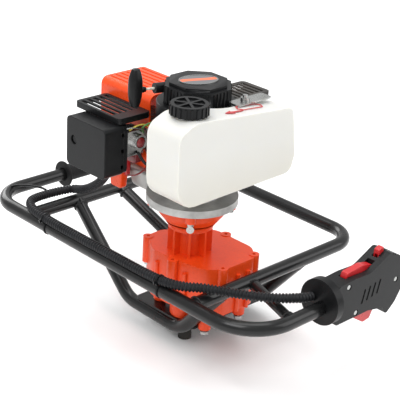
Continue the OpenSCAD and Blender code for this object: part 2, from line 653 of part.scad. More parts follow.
module carb_body() difference() {
    union() {
        block(carb_lo, carb_hi);
        translate([primer_at[0], 54, primer_at[1]]) rotate([-90, 0, 0]) cylinder(h = 8, r = 11.8);
    }
    rod([-86, port_y, 332], [-48, port_y, 332], 8);
    translate([primer_at[0], 53, primer_at[1]]) rotate([-90, 0, 0]) cylinder(h = 10, r = 9);
}
module primer_bulb() color("#8c1a20") translate([primer_at[0], 60, primer_at[1]])
    rotate([90, 0, 0]) rotate_extrude()
        polygon([[0, 0], [8.6, 0], [8.6, 3.4], [7.9, 6.2], [6, 8.6], [3.2, 10], [1.2, 10.4], [0, 10.4]]);
module lever(z0, z1, arm) difference() {
    union() {
        post([0, 0], z0, z1, 5);
        block([0, -2.5, z0], [arm, 2.5, z1]);
        post([arm, 0], z0, z1, 3.5);
    }
    post([0, 0], z0 - 1, z1 + 1, 2 + fit);
}
module throttle_lever() color("#a9adb0") translate([throttle_pin[0], throttle_pin[1], 0])
    rotate(140) lever(356.5, 359, 16);
module choke_lever() color("#2a2c2f") translate([choke_pin[0], choke_pin[1], 0])
    rotate(-60) lever(361, 365, 16);
box_lo = [-130, 58, 290];
box_hi = [-92, 150, 370];
screw_at = [132, 334];
module box_slab(grow, x0, x1, r) translate([x0, 0, 0]) rotate([90, 0, 90])
    linear_extrude(x1 - x0) polygon(rounded(box_outline([box_lo[1] - grow, box_lo[2] - grow],
                                                        [box_hi[1] + grow, box_hi[2] + grow]), r));
module filter_base() color("#212325") difference() {
    box_slab(-1, box_hi[0] + gap, -84.3, 8);
    rod([-96, port_y, 332], [-80, port_y, 332], 8);
    rod([-96, screw_at[0], screw_at[1]], [-80, screw_at[0], screw_at[1]], 2.5);
}
module filter_element() color("#5a5d48") difference() {
    box_slab(-8, -110, -92.5, 4);
    rod([-120, screw_at[0], screw_at[1]], [-80, screw_at[0], screw_at[1]], 8);
}
module filter_cover() color("#2a2c2f") difference() {
    box_slab(0, box_lo[0], box_hi[0], 8);
    box_slab(-2.5, box_lo[0] + 2.5, box_hi[0] + eps, 6);
    rod([box_lo[0] - eps, screw_at[0], screw_at[1]], [-100, screw_at[0], screw_at[1]], 7);
    for (z = [304, 330, 356]) block([-97, box_lo[1] - eps, z - 3], [box_hi[0] + eps, 61, z + 3]);
}
module filter_screw() color("#1b1c1e") {
    rod([-127.4, screw_at[0], screw_at[1]], [-123, screw_at[0], screw_at[1]], 6.7);
    rod([-123, screw_at[0], screw_at[1]], [-85, screw_at[0], screw_at[1]], 2.4);
}

// Fuel tank
tank_y = [-105, -38];
tank_face = [[-132, 298], [104, 302], [112, 330], [100, 408], [60, 412], [-100, 426],
             [-134, 412]];
tank_radii = [34, 16, 20, 14, 60, 30, 22];
cap_at = [-84, -70];
module tank_form(inset) side_slab(rounded([for (p = tank_face)
    p + inset * unit([-10, 365] - p)], tank_radii), tank_y[0] + inset, tank_y[1] - inset);
module fuel_tank() color("#e9e6dc") difference() {
    union() {
        tank_form(0);
        post(cap_at, 415, 431, 22);
    }
    difference() {
        tank_form(3);
        post([0, 0], 280, 440, fan_r + 8);
    }
    post([0, 0], 280, 440, fan_r + 4);
    post(cap_at, 400, 432, 18);
}
module fuel_cap() color("#232527") difference() {
    union() {
        post(cap_at, 426.8, 443, cap_d / 2 - 1.6);
        translate([cap_at[0], cap_at[1], 0]) for (a = [0 : 18 : 342]) rotate(a)
            block([cap_d / 2 - 4, -1.6, 427], [cap_d / 2, 1.6, 441]);
    }
    post(cap_at, 426, 438, 22 + gap);
    translate([cap_at[0], cap_at[1], 440]) difference() {
        cylinder(h = 4, r = cap_d / 2 - 7);
        for (a = [0, 60, 120]) rotate(a) cube([60, 4, 6], center = true);
    }
}

handle_tube();
side_loop_tube();
cradle_tube_left();
cradle_tube_right();
brace_tube();
base_plate();
hand_grip();
throttle_shell_left();
throttle_shell_right();
throttle_trigger();
trigger_lock();
kill_switch();
throttle_screws();
cable_conduit();
zip_ties();
kill_lead();
gearbox_lower();
gearbox_upper();
gearbox_bolts();
clutch_housing();
housing_bolts();
output_shaft();
output_gear();
layshaft();
lay_gear();
input_shaft();
clutch_drum();
gearbox_bearings();
shaft_seal();
clutch_hub();
clutch_shoe_left();
clutch_shoe_right();
crankcase_lower();
crankcase_upper();
crankshaft();
crank_bearings();
barrel();
piston();
spark_plug();
flywheel();
ignition_coil();
fan_housing();
recoil_cover();
recoil_pulley();
starter_rope();
starter_handle();
cylinder_cowl();
louvre_panel();
muffler();
muffler_guard();
carburettor();
throttle_lever();
choke_lever();
primer_bulb();
filter_base();
filter_element();
filter_cover();
filter_screw();
fuel_tank();
fuel_cap();
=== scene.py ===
import json
import math
import bpy
import bmesh
import numpy as np
from mathutils import Matrix, Vector


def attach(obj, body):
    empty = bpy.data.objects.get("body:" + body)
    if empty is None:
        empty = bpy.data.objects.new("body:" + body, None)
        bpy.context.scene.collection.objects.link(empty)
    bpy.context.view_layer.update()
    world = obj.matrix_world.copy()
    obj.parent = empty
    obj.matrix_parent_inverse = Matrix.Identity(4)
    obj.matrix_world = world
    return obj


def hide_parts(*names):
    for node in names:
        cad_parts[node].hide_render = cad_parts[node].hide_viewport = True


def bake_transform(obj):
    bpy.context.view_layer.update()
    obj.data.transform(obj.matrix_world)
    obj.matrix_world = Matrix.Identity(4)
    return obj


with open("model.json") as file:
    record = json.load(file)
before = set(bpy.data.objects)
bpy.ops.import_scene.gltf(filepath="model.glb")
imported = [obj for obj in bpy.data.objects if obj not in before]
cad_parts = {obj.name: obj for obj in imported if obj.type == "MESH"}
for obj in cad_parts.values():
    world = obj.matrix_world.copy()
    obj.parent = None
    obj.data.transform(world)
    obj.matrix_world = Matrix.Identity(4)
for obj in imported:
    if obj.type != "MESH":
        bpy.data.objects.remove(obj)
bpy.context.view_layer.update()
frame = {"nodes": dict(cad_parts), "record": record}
scene = bpy.context.scene
mm = 0.001
scene.view_settings.view_transform = "Standard"

# camera: azimuth and elevation of the view, a slight roll, and where the lens stands (metres)
cameraSetup = {"azimuth": -45.08, "elevation": 24.05, "roll": 3.31, "lens": 108.0,
               "place": (-1.1984, -1.2127, 1.0066)}


def placeCamera(setup):
    a, e, r = (math.radians(setup[k]) for k in ("azimuth", "elevation", "roll"))
    forward = Vector((-math.sin(a) * math.cos(e), math.cos(a) * math.cos(e), -math.sin(e)))
    right = Vector((math.cos(a), math.sin(a), 0))
    up = right.cross(forward)
    turnedRight = right * math.cos(r) + up * math.sin(r)
    turnedUp = up * math.cos(r) - right * math.sin(r)
    lens = bpy.data.cameras.new("camera")
    lens.lens, lens.sensor_width, lens.clip_start, lens.clip_end = setup["lens"], 36.0, 0.05, 50
    camera = bpy.data.objects.new("camera", lens)
    scene.collection.objects.link(camera)
    camera.matrix_world = Matrix.Translation(setup["place"]) @ Matrix(
        (turnedRight, turnedUp, -forward)).transposed().to_4x4()
    scene.camera = camera


placeCamera(cameraSetup)
print("camera placed")


# shader maths: a socket that can be added, multiplied and so on
class Wire:
    def __init__(self, paint, socket):
        self.paint, self.socket = paint, socket

    def maths(self, operation, *others):
        return self.paint.make("ShaderNodeMath", {"operation": operation}, (self, *others))

    def __add__(self, other): return self.maths("ADD", other)
    def __radd__(self, other): return self.maths("ADD", other)
    def __sub__(self, other): return self.maths("SUBTRACT", other)
    def __rsub__(self, other):
        return self.paint.make("ShaderNodeMath", {"operation": "SUBTRACT"}, (other, self))
    def __mul__(self, other): return self.maths("MULTIPLY", other)
    def __rmul__(self, other): return self.maths("MULTIPLY", other)

    def sine(self): return self.maths("SINE")
    def size(self): return self.maths("ABSOLUTE")


class Paint:
    def __init__(self, name, **fixed):
        self.material = bpy.data.materials.new(name)
        self.material.use_nodes = True
        self.tree = self.material.node_tree
        self.shader = self.tree.nodes["Principled BSDF"]
        self.set(**fixed)

    def feed(self, socket, value):
        if isinstance(value, Wire):
            self.tree.links.new(value.socket, socket)
        elif isinstance(value, (tuple, list)) and len(socket.default_value) == 4:
            socket.default_value = (*value, 1.0)[:4]
        else:
            socket.default_value = value

    def set(self, **values):
        for key, value in values.items():
            self.feed(self.shader.inputs[key.replace("_", " ")], value)

    def make(self, kind, settings=None, inputs=(), out=0):
        node = self.tree.nodes.new(kind)
        for key, value in (settings or {}).items():
            if key == "stops":
                ramp = node.color_ramp
                while len(ramp.elements) < len(value):
                    ramp.elements.new(0.5)
                for element, (at, shade) in zip(ramp.elements, value):
                    element.position = at
                    element.color = (shade, shade, shade, 1) if np.isscalar(shade) else (*shade, 1)
            else:
                setattr(node, key, value)
        pairs = inputs.items() if isinstance(inputs, dict) else enumerate(inputs)
        for key, value in pairs:
            self.feed(node.inputs[key], value)
        return Wire(self, node.outputs[out])

    def place(self):
        return self.make("ShaderNodeTexCoord", out="Object")

    def along(self, axis):
        return self.make("ShaderNodeSeparateXYZ", None, (self.place(),), out=axis)

    def noise(self, scale, detail=3.0, rough=0.5, vector=None):
        return self.make("ShaderNodeTexNoise", None, {"Vector": vector or self.place(), "Scale": scale,
                                                      "Detail": detail, "Roughness": rough}, out="Fac")

    def cells(self, scale):
        return self.make("ShaderNodeTexVoronoi", None, {"Vector": self.place(), "Scale": scale},
                         out="Distance")

    def ramp(self, value, *stops):
        return self.make("ShaderNodeValToRGB", {"stops": stops}, (value,))

    def mix(self, factor, a, b):
        return self.make("ShaderNodeMix", {"data_type": "RGBA"}, {"Factor": factor, 6: a, 7: b}, out=2)

    def stretch(self, scale):
        return self.make("ShaderNodeMapping", None, {"Vector": self.place(), "Scale": scale})

    def bump(self, height, strength=0.2, distance=0.0005):
        self.set(Normal=self.make("ShaderNodeBump", None, {"Strength": strength, "Distance": distance,
                                                           "Height": height}))


finishes = {
    "framePaint": {"colour": (0.004, 0.0042, 0.0045), "dust": (0.012, 0.0122, 0.0125), "rough": 0.30},
    "satinBlack": {"colour": (0.005, 0.0053, 0.0058), "dust": (0.012, 0.0126, 0.0136), "rough": 0.36},
    "gripRubber": {"colour": (0.005, 0.0051, 0.0055), "dust": (0.014, 0.0142, 0.015), "rough": 0.60},
    "conduitPlastic": {"colour": (0.008, 0.0085, 0.010), "dust": (0.022, 0.023, 0.026), "rough": 0.40},
}


def darkFinish(name, colour, dust, rough, grain=1400, grainDepth=0.12, coat=0.0):
    # colour = base turned slightly towards dust by clouds; roughness rises with the same clouds
    p = Paint(name, Specular_IOR_Level=0.2, Coat_Roughness=0.12)
    clouds = p.noise(22, 5, 0.6)
    specks = p.noise(420, 2, 0.5)
    p.set(Base_Color=p.mix(p.ramp(clouds * 0.7 + specks * 0.3, (0.35, 0), (0.75, 1)), colour, dust),
          Roughness=rough + (clouds - 0.5) * 0.16 + (specks - 0.5) * 0.08, Coat_Weight=coat)
    p.bump(p.noise(grain, 2, 0.5), grainDepth, 0.0003)
    return p.material


def castPaint(name, colour, shade, rough=0.36, grain=520):
    # colour = base darkened where two cloud sizes meet; a cast skin of cells under the paint
    p = Paint(name, Specular_IOR_Level=0.3, Coat_Roughness=0.2)
    clouds = p.noise(14, 4, 0.55)
    fine = p.noise(260, 3, 0.6)
    p.set(Base_Color=p.mix(p.ramp(clouds * 0.6 + fine * 0.4, (0.3, 1), (0.72, 0)), colour, shade),
          Roughness=rough + (fine - 0.5) * 0.2, Coat_Weight=0.12)
    p.bump(p.noise(grain, 3, 0.6) + p.cells(grain * 0.6) * 0.6, 0.22, 0.0004)
    return p.material


def bareMetal(name, colour, shade, rough=0.35, metallic=1.0, grain=600, depth=0.15):
    # colour = light metal clouded with a darker one; fine grain raises the roughness
    p = Paint(name, Metallic=metallic)
    clouds = p.noise(38, 4, 0.6)
    fine = p.noise(grain, 3, 0.6)
    p.set(Base_Color=p.mix(p.ramp(clouds, (0.35, 0), (0.7, 1)), colour, shade),
          Roughness=rough + (fine - 0.5) * 0.3 + (clouds - 0.5) * 0.15)
    p.bump(fine, depth, 0.0003)
    return p.material


def brushed(name, colour, shade, rough=0.3):
    # fine lines along Z: noise squeezed across and drawn out along the axis
    p = Paint(name, Metallic=1.0)
    lines = p.noise(1, 3, 0.6, vector=p.stretch((900, 900, 60)))
    p.set(Base_Color=p.mix(lines, colour, shade), Roughness=rough + (lines - 0.5) * 0.25)
    p.bump(lines, 0.12, 0.0002)
    return p.material


def tankPlastic():
    # milky plastic: soft blotches, whiter above, and a warmer, darker band towards the bottom: a warm tint
    # with painted shade on the lower side
    p = Paint("milkyTank", Subsurface_Weight=0.35, Subsurface_Radius=(0.02, 0.018, 0.014),
              Specular_IOR_Level=0.45, Coat_Roughness=0.3)
    p.set(Subsurface_Scale=0.5)
    height = p.along("Z")
    blotch = p.noise(9, 3, 0.5)
    fine = p.noise(300, 2, 0.5)
    # warm tint with painted shade: below a height the colour turns warmer and darker
    warmTintAndShade = p.ramp((height - 0.296) * 7.5 + (blotch - 0.5) * 0.25, (0.0, 1), (0.55, 0))
    upper = p.mix(blotch, (0.70, 0.693, 0.655), (0.65, 0.642, 0.60))
    p.set(Base_Color=p.mix(warmTintAndShade * 0.6, upper, (0.62, 0.59, 0.51)),
          Roughness=0.36 + (fine - 0.5) * 0.16, Coat_Weight=0.1)
    p.bump(fine * 0.5 + p.noise(60, 2, 0.5), 0.1, 0.0006)
    return p.material


def redPlastic(name, colour, shade, rough=0.3):
    p = Paint(name, Specular_IOR_Level=0.5)
    clouds = p.noise(60, 3, 0.5)
    p.set(Base_Color=p.mix(clouds, colour, shade), Roughness=rough + (clouds - 0.5) * 0.14, Coat_Weight=0.15)
    p.bump(p.noise(900, 2, 0.5), 0.08, 0.0003)
    return p.material


def ropeWeave():
    # braid: two families of slanted stripes on the rope's own UV, crossed; around = 4 stripes a
    # turn, along = stripes for each metre of rope, both as sine angles
    around, lengthwise = 25.13, 500.0
    p = Paint("ropeWeave", Sheen_Weight=0.3)
    uv = p.make("ShaderNodeTexCoord", out="UV")
    u = p.make("ShaderNodeSeparateXYZ", None, (uv,), out="X")
    v = p.make("ShaderNodeSeparateXYZ", None, (uv,), out="Y")
    weave = (u * around + v * lengthwise).sine() * (u * around - v * lengthwise).sine() * 0.5 + 0.5
    # painted shade: the colour is darker where the weave is low, in the grooves between the strands
    p.set(Base_Color=p.mix(weave, (0.42, 0.39, 0.32), (0.78, 0.75, 0.66)), Roughness=0.8 - weave * 0.1)
    p.bump(weave, 0.5, 0.0006)
    return p.material


def foamCells():
    p = Paint("foamCells")
    cell = p.cells(420)
    # painted shade: the colour is darker at the cells' centres, the low pits of the bump
    p.set(Base_Color=p.mix(cell, (0.03, 0.032, 0.02), (0.15, 0.16, 0.09)), Roughness=0.85 + cell * 0.1)
    p.bump(cell, 0.8, 0.002)
    return p.material


def badgePaint():
    # dark grey oval with an orange band: the band is where a slanted, gently bowed line stays near zero
    p = Paint("badgePaint", Specular_IOR_Level=0.5, Coat_Roughness=0.1)
    x, y = p.along("X"), p.along("Y")
    line = (x * 0.35 + y - 0.001 + (x * 90).sine() * 0.0014).size()
    band = p.ramp((line - 0.0052) * 900 + 0.5, (0.0, 1), (1.0, 0))
    fleck = p.noise(700, 2, 0.5)
    p.set(Base_Color=p.mix(band, (0.11, 0.112, 0.118), (0.80, 0.13, 0.03)),
          Roughness=0.3 + (fleck - 0.5) * 0.1, Coat_Weight=0.4)
    p.bump(band * 0.5 + fleck * 0.1, 0.2, 0.0004)
    return p.material


look = {
    "badge": badgePaint(),
    "leadGreen": redPlastic("leadGreen", (0.10, 0.30, 0.06), (0.06, 0.18, 0.04), 0.35),
    "leadYellow": redPlastic("leadYellow", (0.62, 0.52, 0.06), (0.45, 0.36, 0.04), 0.35),
    "framePaint": darkFinish("framePaint", **finishes["framePaint"], grain=420, grainDepth=0.1, coat=0.35),
    "satinBlack": darkFinish("satinBlack", **finishes["satinBlack"], grain=1300, grainDepth=0.22),
    "gripRubber": darkFinish("gripRubber", **finishes["gripRubber"], grain=900, grainDepth=0.35),
    "conduitPlastic": darkFinish("conduitPlastic", **finishes["conduitPlastic"], grain=1500, grainDepth=0.1),
    "castOrange": castPaint("castOrange", (0.88, 0.078, 0.009), (0.70, 0.048, 0.006)),
    "cowlOrange": castPaint("cowlOrange", (0.92, 0.080, 0.008), (0.78, 0.058, 0.006), rough=0.3, grain=900),
    "castAluminium": bareMetal("castAluminium", (0.50, 0.50, 0.485), (0.33, 0.33, 0.32), 0.52, 0.8, 480, 0.4),
    "zincScrew": bareMetal("zincScrew", (0.50, 0.505, 0.50), (0.36, 0.365, 0.35), 0.26, 1.0, 900, 0.1),
    "gearSteel": brushed("gearSteel", (0.42, 0.42, 0.43), (0.27, 0.27, 0.28)),
    "brightCarb": bareMetal("brightCarb", (0.66, 0.66, 0.65), (0.36, 0.36, 0.36), 0.2, 1.0, 700, 0.25),
    "darkSteel": darkFinish("darkSteel", (0.02, 0.02, 0.02), (0.07, 0.062, 0.055), 0.5, 300, 0.3),
    "red": redPlastic("triggerRed", (0.60, 0.018, 0.022), (0.42, 0.010, 0.014)),
    "darkRed": redPlastic("primerRed", (0.22, 0.012, 0.014), (0.12, 0.006, 0.008), 0.2),
    "nylon": redPlastic("pulleyNylon", (0.66, 0.65, 0.58), (0.55, 0.54, 0.48), 0.5),
    "tank": tankPlastic(),
    "rope": ropeWeave(),
    "foam": foamCells(),
}
print("finishes made")

finishOf = {
    "frame_paint": "framePaint", "black_satin": "satinBlack", "black_grip": "gripRubber",
    "red_plastic": "red", "case_orange": "castOrange", "cowl_orange": "cowlOrange",
    "zinc": "zincScrew", "gear_steel": "gearSteel", "cast_aluminium": "castAluminium",
    "bright_carb": "brightCarb", "dark_steel": "darkSteel", "seal_rubber": "gripRubber",
    "white_tank": "tank", "rope_cord": "rope", "foam": "foam", "nylon": "nylon", "coil": "satinBlack",
}
slotOf = {s["node"]: s["material_slot"] for s in frame["record"]["subparts"]}
bodyOf = {node: body for body, nodes in frame["record"]["behaviour"]["bodies"].items() for node in nodes}
for name, slotName in slotOf.items():
    nodeMesh = frame["nodes"][name].data
    chosen = look["darkRed" if name == "primer_bulb" else finishOf[slotName]]
    if len(nodeMesh.materials):
        for k in range(len(nodeMesh.materials)):
            nodeMesh.materials[k] = chosen
    else:
        nodeMesh.materials.append(chosen)
print("finishes on the frame's nodes")


def addPiece(name, mesh, finish, body="powerhead", smooth=True):
    piece = bpy.data.objects.new(name, mesh)
    scene.collection.objects.link(piece)
    mesh.materials.clear()
    mesh.materials.append(look[finish])
    mesh.polygons.foreach_set("use_smooth", np.full(len(mesh.polygons), smooth))
    mesh.update()
    if body:
        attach(piece, body)
    return piece


def softened(node, width, segments, sharpest=35):
    # a copy of a node with its corners merged and its edges sharper than an angle rounded over
    mesh = frame["nodes"][node].data.copy()
    work = bmesh.new()
    work.from_mesh(mesh)
    bmesh.ops.remove_doubles(work, verts=work.verts, dist=0.00002)
    bmesh.ops.dissolve_limit(work, angle_limit=math.radians(1.0), verts=work.verts, edges=work.edges)
    bmesh.ops.recalc_face_normals(work, faces=work.faces)
    work.to_mesh(mesh)
    work.free()
    piece = addPiece(node + "_look", mesh, finishOf[slotOf[node]], bodyOf[node])
    bevel = piece.modifiers.new("edges", "BEVEL")
    bevel.width, bevel.segments, bevel.limit_method = width * mm, segments, "ANGLE"
    bevel.angle_limit, bevel.use_clamp_overlap = math.radians(sharpest), True
    evened = piece.modifiers.new("evened", "WEIGHTED_NORMAL")
    evened.mode, evened.weight = "FACE_AREA", 60
    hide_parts(node)


# how far each node's edges are rounded, in millimetres
softWidths = {
    "hand_grip": 2.0, "throttle_shell_left": 2.6, "throttle_shell_right": 2.6,
    "throttle_trigger": 1.2, "trigger_lock": 1.4, "kill_switch": 0.8, "base_plate": 0.8,
    "gearbox_lower": 1.2, "gearbox_upper": 1.4, "clutch_housing": 1.2, "crankcase_lower": 1.6,
    "crankcase_upper": 1.6, "fan_housing": 2.0, "recoil_cover": 1.8,
    "cylinder_cowl": 2.4, "louvre_panel": 1.0, "muffler_guard": 1.0, "carburettor": 1.2,
    "filter_base": 1.6, "filter_cover": 2.4, "filter_screw": 0.8, "fuel_tank": 5.0,
    "fuel_cap": 2.0, "choke_lever": 0.8,
}
for node, width in softWidths.items():
    softened(node, width, 3 if width > 1.5 else 2)
print("edges rounded")


def tubeMesh(name, path, radii, sides):
    # a circle of the given radius at each path point, square to the path; uv = (turn, length)
    path = np.asarray(path, float)
    radii = np.broadcast_to(np.asarray(radii, float), (len(path),))
    tangent = np.gradient(path, axis=0)
    tangent /= np.linalg.norm(tangent, axis=1, keepdims=True)
    reference = np.where(np.abs(tangent[:, 2:3]) > 0.93, [[1.0, 0, 0]], [[0, 0, 1.0]])
    sideways = np.cross(tangent, reference)
    sideways /= np.linalg.norm(sideways, axis=1, keepdims=True)
    upward = np.cross(sideways, tangent)
    turn = np.linspace(0, 2 * np.pi, sides, endpoint=False)
    outward = (np.cos(turn)[None, :, None] * sideways[:, None]
               + np.sin(turn)[None, :, None] * upward[:, None])
    points = (path[:, None] + radii[:, None, None] * outward).reshape(-1, 3)
    rows = np.arange(len(path) - 1)[:, None] * sides
    k = np.arange(sides)[None]
    nextK = (k + 1) % sides
    faces = np.stack([rows + k, rows + nextK, rows + sides + nextK, rows + sides + k], -1)
    faces = faces.reshape(-1, 4)[:, ::-1]
    caps = [list(range(sides)), list(range(len(points) - 1, len(points) - 1 - sides, -1))]
    mesh = bpy.data.meshes.new(name)
    mesh.from_pydata(points.tolist(), [], faces.tolist() + caps)
    length = np.concatenate([[0], np.cumsum(np.linalg.norm(np.diff(path, axis=0), axis=1))])
    uvLayer = mesh.uv_layers.new(name="route")
    loopVerts = np.empty(len(mesh.loops), int)
    mesh.loops.foreach_get("vertex_index", loopVerts)
    uv = np.stack([(loopVerts % sides) / sides, length[loopVerts // sides]], -1)
    uvLayer.data.foreach_set("uv", uv.ravel())
    work = bmesh.new()
    work.from_mesh(mesh)
    bmesh.ops.recalc_face_normals(work, faces=work.faces)
    work.to_mesh(mesh)
    work.free()
    return mesh


def smoothRoute(points, step):
    # a curve through the points, each span a cubic whose slope at a point is half the step across it
    p = np.asarray(points, float)
    ends = np.vstack([p[:1], p, p[-1:]])
    t = np.linspace(0, 1, 60, endpoint=False)[:, None]
    spans = []
    for a, b, c, d in zip(ends[:-3], ends[1:-2], ends[2:-1], ends[3:]):
        spans.append(0.5 * (2 * b + (c - a) * t + (2 * a - 5 * b + 4 * c - d) * t ** 2
                            + (3 * b - a - 3 * c + d) * t ** 3))
    fine = np.vstack(spans + [p[-1:]])
    length = np.concatenate([[0], np.cumsum(np.linalg.norm(np.diff(fine, axis=0), axis=1))])
    at = np.linspace(0, length[-1], int(length[-1] / step) + 2)
    return np.stack([np.interp(at, length, fine[:, i]) for i in range(3)], -1), at


conduit = {"outer": 0.0077, "depth": 0.0017, "pitch": 0.0054, "stepsPerRib": 8, "sides": 22, "route": [
    (-0.062, 0.116, 0.288), (-0.054, 0.136, 0.264), (-0.038, 0.176, 0.226), (-0.014, 0.230, 0.190),
    (0.004, 0.276, 0.165), (0.006, 0.302, 0.156), (-0.012, 0.311, 0.1545), (-0.040, 0.314, 0.1545),
    (-0.064, 0.313, 0.155), (-0.082, 0.306, 0.156), (-0.095, 0.290, 0.156), (-0.101, 0.264, 0.1545),
    (-0.103, 0.220, 0.1535), (-0.103, 0.150, 0.1535), (-0.102, 0.060, 0.1535), (-0.101, -0.010, 0.1535),
    (-0.097, -0.054, 0.1545), (-0.087, -0.082, 0.156), (-0.071, -0.104, 0.1575), (-0.050, -0.132, 0.156),
    (-0.024, -0.164, 0.154), (0.004, -0.190, 0.152), (0.028, -0.204, 0.150), (0.044, -0.210, 0.148),
    (0.0544, -0.212, 0.1475)]}
route, at = smoothRoute(conduit["route"], conduit["pitch"] / conduit["stepsPerRib"])
# ribs: a flattened wave along the length, crest at the outer radius
wave = np.clip(np.cos(2 * np.pi * at / conduit["pitch"]) * 1.5, -1, 1)
ribRadius = conduit["outer"] - conduit["depth"] * (0.5 - 0.5 * wave)
ribbed = addPiece("ribbedConduit", tubeMesh("ribbedConduit", route, ribRadius, conduit["sides"]),
                  "conduitPlastic")
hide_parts("cable_conduit")
print("conduit ribbed")

rope = {"radius": 0.0021, "strands": 3, "twist": 0.011, "row": 0.0005, "sides": 24,
        "from": (0.00744, 0.02595, 0.426), "to": (-0.07138, 0.04856, 0.426)}


def twistedRope(setup, name):
    # radius at an angle = full size less a share of how far that angle is from the nearest strand,
    # and the strands wind round once in each twist of length
    start, end = np.array(setup["from"]), np.array(setup["to"])
    length = np.linalg.norm(end - start)
    rows = int(length / setup["row"])
    along = np.linspace(0, length, rows)
    turn = np.linspace(0, 2 * np.pi, setup["sides"], endpoint=False)
    phase = setup["strands"] * turn[None] - 2 * np.pi * along[:, None] / setup["twist"]
    radius = setup["radius"] * (0.86 + 0.14 * np.abs(np.cos(phase / 2)))
    forward = (end - start) / length
    sideways = np.cross(forward, [0, 0, 1.0])
    outward = np.cos(turn)[:, None] * sideways + np.sin(turn)[:, None] * np.array([0, 0, 1.0])
    points = start + along[:, None, None] * forward + radius[..., None] * outward[None]
    mesh = tubeMesh(name, start + along[:, None] * forward, setup["radius"], setup["sides"])
    mesh.vertices.foreach_set("co", points.reshape(-1))
    mesh.update()
    return mesh


starterRope = addPiece("starterRope", twistedRope(rope, "starterRope"), "rope", None)
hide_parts("starter_rope")
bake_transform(starterRope)


grip = {"centre": (-0.0800, 0.0510), "low": 0.4012, "high": 0.4588, "flatness": 0.92,
        "neckRoute": [(-0.0760, 0.0499, 0.426), (-0.0705, 0.0483, 0.426), (-0.0640, 0.0465, 0.426)],
        "neckRadii": [0.0062, 0.0052, 0.0040],
        "levels": [0.0, 0.03, 0.10, 0.30, 0.55, 0.75, 0.90, 0.975, 1.0],
        "half": [0.0060, 0.0068, 0.0082, 0.0102, 0.0108, 0.0102, 0.0080, 0.0066, 0.0054]}


def barrelGrip(setup, name):
    # height v and turn u: half width = a smooth run through the levels; each level is a rounded
    # square, |cos| and |sin| raised to 0.8, and both ends close to a point in the middle
    rows, sides = 60, 40
    v = np.linspace(0, 1, rows)
    half = np.interp(v, setup["levels"], setup["half"])
    half = np.convolve(np.pad(half, 3, mode="edge"), np.ones(7) / 7, "valid")
    u = np.linspace(0, 2 * np.pi, sides, endpoint=False)
    across = np.sign(np.cos(u)) * np.abs(np.cos(u)) ** 0.8
    deep = np.sign(np.sin(u)) * np.abs(np.sin(u)) ** 0.8
    z = setup["low"] + v * (setup["high"] - setup["low"])
    ring = np.stack([setup["centre"][0] + half[:, None] * across,
                     setup["centre"][1] + setup["flatness"] * half[:, None] * deep,
                     np.broadcast_to(z[:, None], (rows, sides))], -1).reshape(-1, 3)
    ends = [(*setup["centre"], setup["low"]), (*setup["centre"], setup["high"])]
    i, k = np.meshgrid(np.arange(rows - 1) * sides, np.arange(sides), indexing="ij")
    n = (k + 1) % sides
    faces = np.stack([i + k, i + n, i + sides + n, i + sides + k], -1).reshape(-1, 4).tolist()
    turn, after = np.arange(sides), (np.arange(sides) + 1) % sides
    last = (rows - 1) * sides
    faces += np.column_stack([np.full(sides, last + sides), after, turn]).tolist()
    faces += np.column_stack([np.full(sides, last + sides + 1), last + turn, last + after]).tolist()
    mesh = bpy.data.meshes.new(name)
    mesh.from_pydata(ring.tolist() + ends, [], faces)
    return mesh


gripPiece = addPiece("starterGrip", barrelGrip(grip, "starterGrip"), "satinBlack", "starter")
addPiece("starterGripNeck", tubeMesh("starterGripNeck", grip["neckRoute"], grip["neckRadii"], 20),
         "satinBlack", "starter")
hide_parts("starter_handle")


def outlineMesh(name, outline, low, high):
    # a flat outline (x, y) closed into a slab between two heights
    outline = np.asarray(outline, float)
    n = len(outline)
    points = np.vstack([np.column_stack([outline, np.full(n, z)]) for z in (low, high)])
    k = np.arange(n)
    walls = np.stack([k, (k + 1) % n, n + (k + 1) % n, n + k], -1).tolist()
    mesh = bpy.data.meshes.new(name)
    mesh.from_pydata(points.tolist(), [], walls + [k[::-1].tolist(), (n + k).tolist()])
    return mesh


def laidOn(mesh, matrix):
    mesh.transform(matrix)
    work = bmesh.new()
    work.from_mesh(mesh)
    bmesh.ops.recalc_face_normals(work, faces=work.faces)
    work.to_mesh(mesh)
    work.free()
    return mesh


def ovalOutline(a, b, count=64):
    t = np.linspace(0, 2 * np.pi, count, endpoint=False)
    return np.column_stack([a * np.cos(t), b * np.sin(t)])


def bandMesh(name, outer, inner, low, high):
    # the ring between two outlines of the same count of points, closed into a slab
    outer, inner = np.asarray(outer, float), np.asarray(inner, float)
    n = len(outer)
    corners = ((outer, low), (outer, high), (inner, high), (inner, low))
    levels = [np.column_stack([outline, np.full(n, z)]) for outline, z in corners]
    k = np.arange(n)
    after = (k + 1) % n
    faces = [np.stack([r * n + k, r * n + after, (r + 1) % 4 * n + after, (r + 1) % 4 * n + k], -1)
             for r in range(4)]
    mesh = bpy.data.meshes.new(name)
    mesh.from_pydata(np.vstack(levels).tolist(), [], np.vstack(faces).tolist())
    return mesh


# oval badge on the recoil cover: a rim, a plate with an orange band across it
badge = {"place": (0.0, 0.0, 0.4412), "across": 0.031, "along": 0.022, "turn": -20.0,
         "rimWidth": 0.0018, "plateInset": 0.0019, "foot": -0.0004, "rimTop": 0.0010, "plateTop": 0.0005}
badgeTurn = Matrix.Translation(badge["place"]) @ Matrix.Rotation(math.radians(badge["turn"]), 4, "Z")
rimOuter, rimInner, plateEdge = (ovalOutline(badge["across"] - inset, badge["along"] - inset)
                                 for inset in (0, badge["rimWidth"], badge["plateInset"]))
rim = bandMesh("badgeRim", rimOuter, rimInner, badge["foot"], badge["rimTop"])
plate = outlineMesh("badgePlate", plateEdge, badge["foot"], badge["plateTop"])
addPiece("badgeRim", laidOn(rim, badgeTurn), "zincScrew", smooth=False)
addPiece("badgePlate", laidOn(plate, badgeTurn), "badge", smooth=False)


